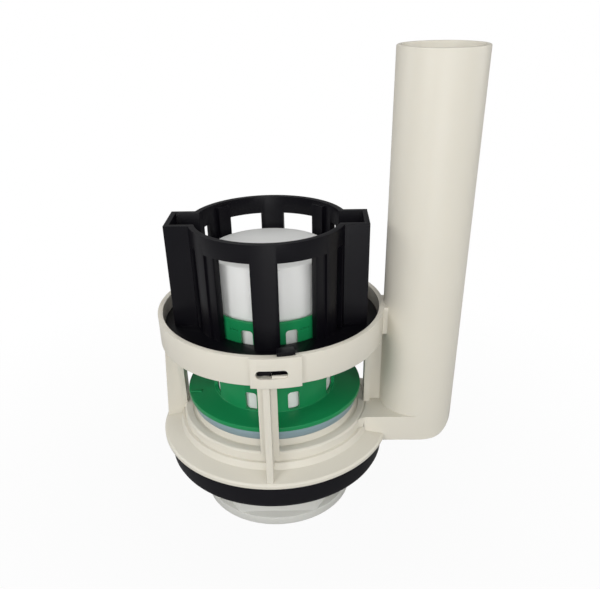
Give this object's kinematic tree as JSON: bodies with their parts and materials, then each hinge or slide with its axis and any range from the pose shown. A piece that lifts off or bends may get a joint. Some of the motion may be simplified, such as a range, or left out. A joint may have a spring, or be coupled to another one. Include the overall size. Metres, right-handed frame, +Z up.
{
  "type": "toilet flush valve",
  "caption": "Toilet flush valve with flanged seat, side overflow pipe, twist-lock guide cage, green float poppet with silicone seal, tank gasket and lock nut.",
  "frame": {"origin": "centre of the flange underside, where the tank gasket seats, on the outlet's axis", "axes": "+Z up along the valve axis, -Y to the front with the bayonet slot, +X to the overflow pipe"},
  "size_m": [0.1409, 0.11, 0.2059],
  "materials": {
    "ivory_plastic": "satin moulded",
    "black_plastic": "satin moulded",
    "gasket_rubber": "matt moulded rubber",
    "nut_plastic": "natural satin",
    "green_plastic": "satin moulded",
    "seal_silicone": "translucent satin",
    "float_plastic": "satin moulded"
  },
  "bodies": {
    "valve_body": {"valve_base": "ivory_plastic", "outlet_shank": "ivory_plastic", "guide_frame": "ivory_plastic", "overflow_duct": "ivory_plastic", "overflow_pipe": "ivory_plastic", "tank_gasket": "gasket_rubber"},
    "nut": {"lock_nut": "nut_plastic"},
    "cage": {"guide_cage": "black_plastic"},
    "poppet": {"poppet_collar": "green_plastic", "poppet_seal": "seal_silicone", "float_cup": "float_plastic"}
  },
  "joints": [
    {"name": "lock_nut_turn", "type": "hinge", "parent": "valve_body", "child": "nut", "pos_m": [0, 0, -0.0286], "axis": [0, 0, 1], "continuous": true},
    {"name": "cage_twist", "type": "hinge", "parent": "valve_body", "child": "cage", "pos_m": [0, 0, 0.0551], "axis": [0, 0, 1], "range_deg": [0, 10]},
    {"name": "poppet_lift", "type": "slide", "parent": "cage", "child": "poppet", "axis": [0, 0, 1], "range_m": [0, 0.03]}
  ]
}
